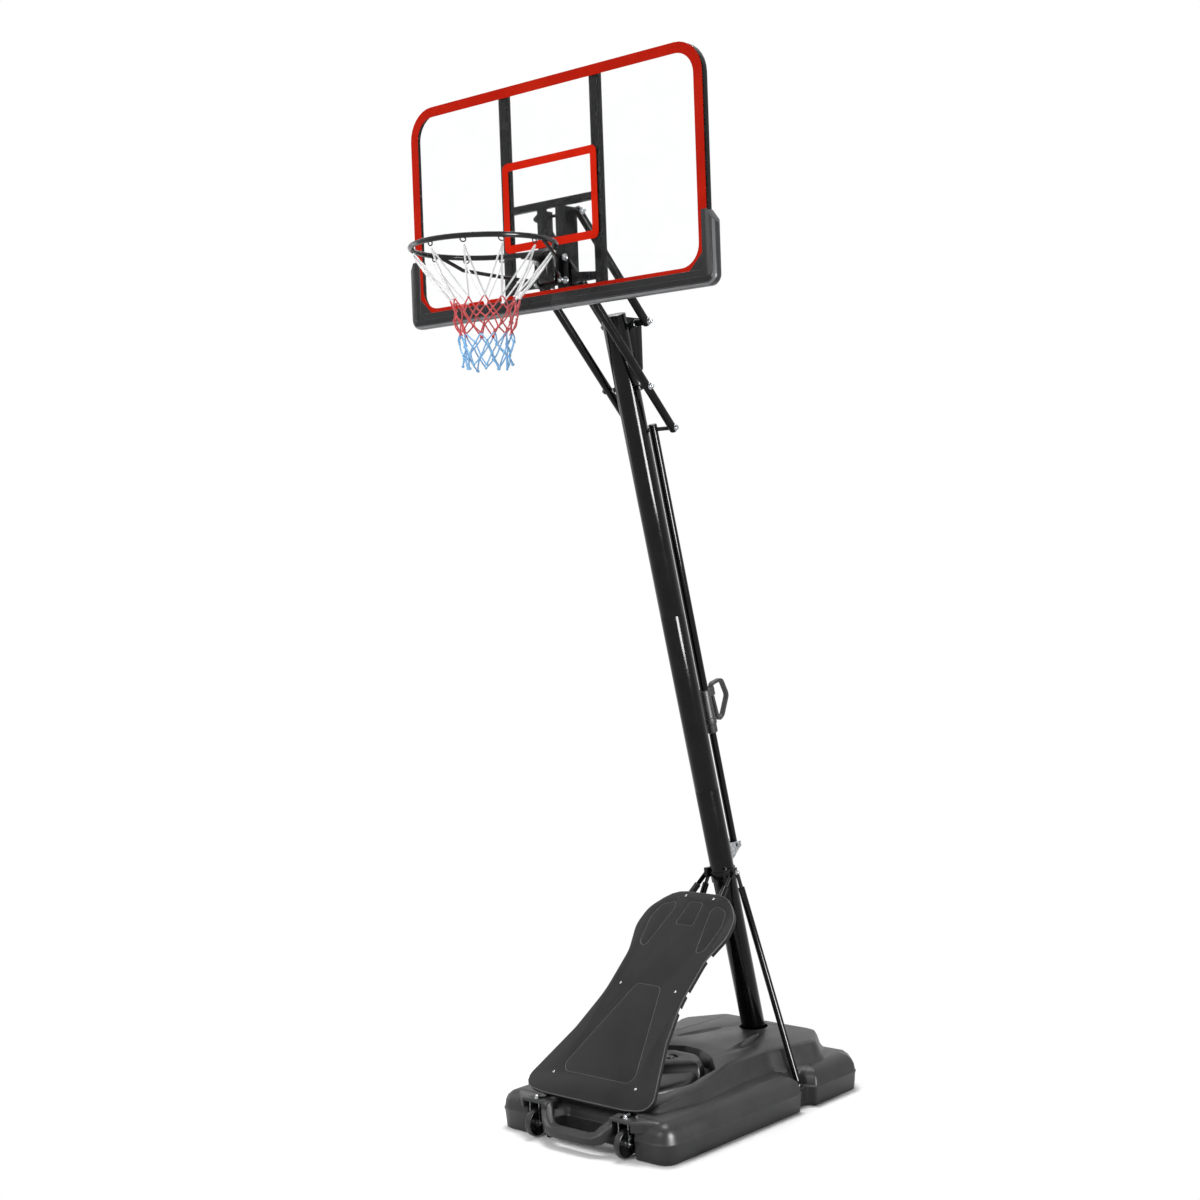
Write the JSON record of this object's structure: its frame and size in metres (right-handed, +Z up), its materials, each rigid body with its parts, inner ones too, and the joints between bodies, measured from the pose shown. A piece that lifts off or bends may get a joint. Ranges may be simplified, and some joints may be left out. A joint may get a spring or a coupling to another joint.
{
  "type": "portable basketball hoop",
  "caption": "Basketball hoop on a ballast base: leaning round pole, four-arm height lift with a sliding strut, clear backboard, sprung rim and net.",
  "frame": {"origin": "on the floor, under the middle of the whole object", "axes": "+Z up; the rim and the wheels face -Y; +X is to the right of someone facing the hoop's front"},
  "size_m": [1.41, 1.727, 3.654],
  "materials": {
    "base_plastic": "blow-moulded black polyethylene, fine grain",
    "panel_plastic": "moulded dark grey plastic, fine grain",
    "black_powder_coat": "gloss black powder coat on steel tube and plate",
    "arm_powder_coat": "satin dark grey powder coat on steel tube",
    "guard_plastic": "moulded charcoal plastic",
    "clear_sheet": "clear shatterproof plastic sheet",
    "red_band": "printed red band",
    "zinc_plate": "bright zinc-plated steel",
    "wheel_plastic": "black polypropylene",
    "net_cord": "knotted polyester cord, white with a red and a blue band",
    "rim_enamel": "gloss black powder coat on steel bar",
    "trigger_plastic": "moulded black plastic"
  },
  "bodies": {
    "stand": {"base": "base_plastic", "brace_collar": "black_powder_coat", "brace_front_left": "black_powder_coat", "brace_front_right": "black_powder_coat", "brace_rear_left": "black_powder_coat", "brace_rear_right": "black_powder_coat", "front_panel": "panel_plastic", "pole_axle_lower": "black_powder_coat", "pole_axle_upper": "black_powder_coat", "pole_cap": "trigger_plastic", "pole_head": "black_powder_coat", "pole_lower": "black_powder_coat", "pole_middle": "black_powder_coat", "pole_upper": "black_powder_coat", "strut_bracket": "zinc_plate", "wheel_fork_left": "zinc_plate", "wheel_fork_right": "zinc_plate"},
    "lower_arms": {"lower_arm_left": "arm_powder_coat", "lower_arm_right": "arm_powder_coat", "board_axle_lower": "black_powder_coat"},
    "upper_arms": {"upper_arm_left": "arm_powder_coat", "upper_arm_right": "arm_powder_coat", "board_axle_upper": "black_powder_coat"},
    "board": {"board_sheet": "clear_sheet", "board_border": "red_band", "target_square": "red_band", "board_frame": "black_powder_coat", "board_rail_left": "black_powder_coat", "board_rail_right": "black_powder_coat", "board_crossbar": "black_powder_coat", "board_tie_left": "black_powder_coat", "board_tie_right": "black_powder_coat", "board_hanger_left": "black_powder_coat", "board_hanger_right": "black_powder_coat", "edge_guard_left": "guard_plastic", "edge_guard_right": "guard_plastic", "rim_mount_plate": "black_powder_coat"},
    "rim_unit": {"rim": "rim_enamel", "rim_spring_cover": "rim_enamel", "net": "net_cord"},
    "strut_lower": {"strut_inner": "black_powder_coat"},
    "strut_upper": {"strut_outer": "black_powder_coat", "grip_clamp": "trigger_plastic"},
    "trigger": {"height_trigger": "trigger_plastic"},
    "left_wheel": {"wheel_left": "wheel_plastic"},
    "right_wheel": {"wheel_right": "wheel_plastic"},
    "cap": {"filler_cap": "base_plastic"}
  },
  "joints": [
    {"name": "height_lift", "type": "hinge", "parent": "stand", "child": "lower_arms", "pos_m": [0, 0.08, 2.615], "axis": [1, 0, 0], "range_deg": [0, 105.2]},
    {"name": "upper_arm_lift", "type": "hinge", "parent": "stand", "child": "upper_arms", "pos_m": [0, 0.085, 2.843], "axis": [1, 0, 0], "range_deg": [0, 105.3]},
    {"name": "board_level", "type": "hinge", "parent": "lower_arms", "child": "board", "pos_m": [0, -0.24988, 2.96506], "axis": [1, 0, 0], "range_deg": [-105.3, 0]},
    {"name": "rim_breakaway", "type": "hinge", "parent": "board", "child": "rim_unit", "pos_m": [0, -0.3005, 2.951], "axis": [1, 0, 0], "range_deg": [0, 20], "stiffness_Nm_per_rad": 300, "springref_deg": -17.19},
    {"name": "strut_swing", "type": "hinge", "parent": "stand", "child": "strut_lower", "pos_m": [0, 0.605, 0.915], "axis": [1, 0, 0], "range_deg": [-1.33, 0]},
    {"name": "strut_slide", "type": "slide", "parent": "strut_lower", "child": "strut_upper", "axis": [0, -0.2436, 0.9699], "range_m": [0, 0.3077]},
    {"name": "trigger_pull", "type": "hinge", "parent": "strut_upper", "child": "trigger", "pos_m": [0, 0.49087, 1.51115], "axis": [1, 0, 0], "range_deg": [0, 18], "stiffness_Nm_per_rad": 1.5, "springref_deg": -14.32},
    {"name": "left_wheel_spin", "type": "hinge", "parent": "stand", "child": "left_wheel", "pos_m": [-0.206, -0.3075, 0.0525], "axis": [1, 0, 0], "continuous": true},
    {"name": "right_wheel_spin", "type": "hinge", "parent": "stand", "child": "right_wheel", "pos_m": [0.206, -0.3075, 0.0525], "axis": [1, 0, 0], "continuous": true},
    {"name": "cap_lift", "type": "slide", "parent": "stand", "child": "cap", "axis": [0, 0, 1], "range_m": [0, 0.035]}
  ],
  "couplings": [
    {"joint": "upper_arm_lift", "follows": "height_lift", "ratio": 1},
    {"joint": "board_level", "follows": "height_lift", "ratio": -1},
    {"joint": "strut_swing", "follows": "height_lift", "ratio": -0.012573},
    {"joint": "strut_slide", "follows": "height_lift", "m_per_rad": 0.16729}
  ]
}
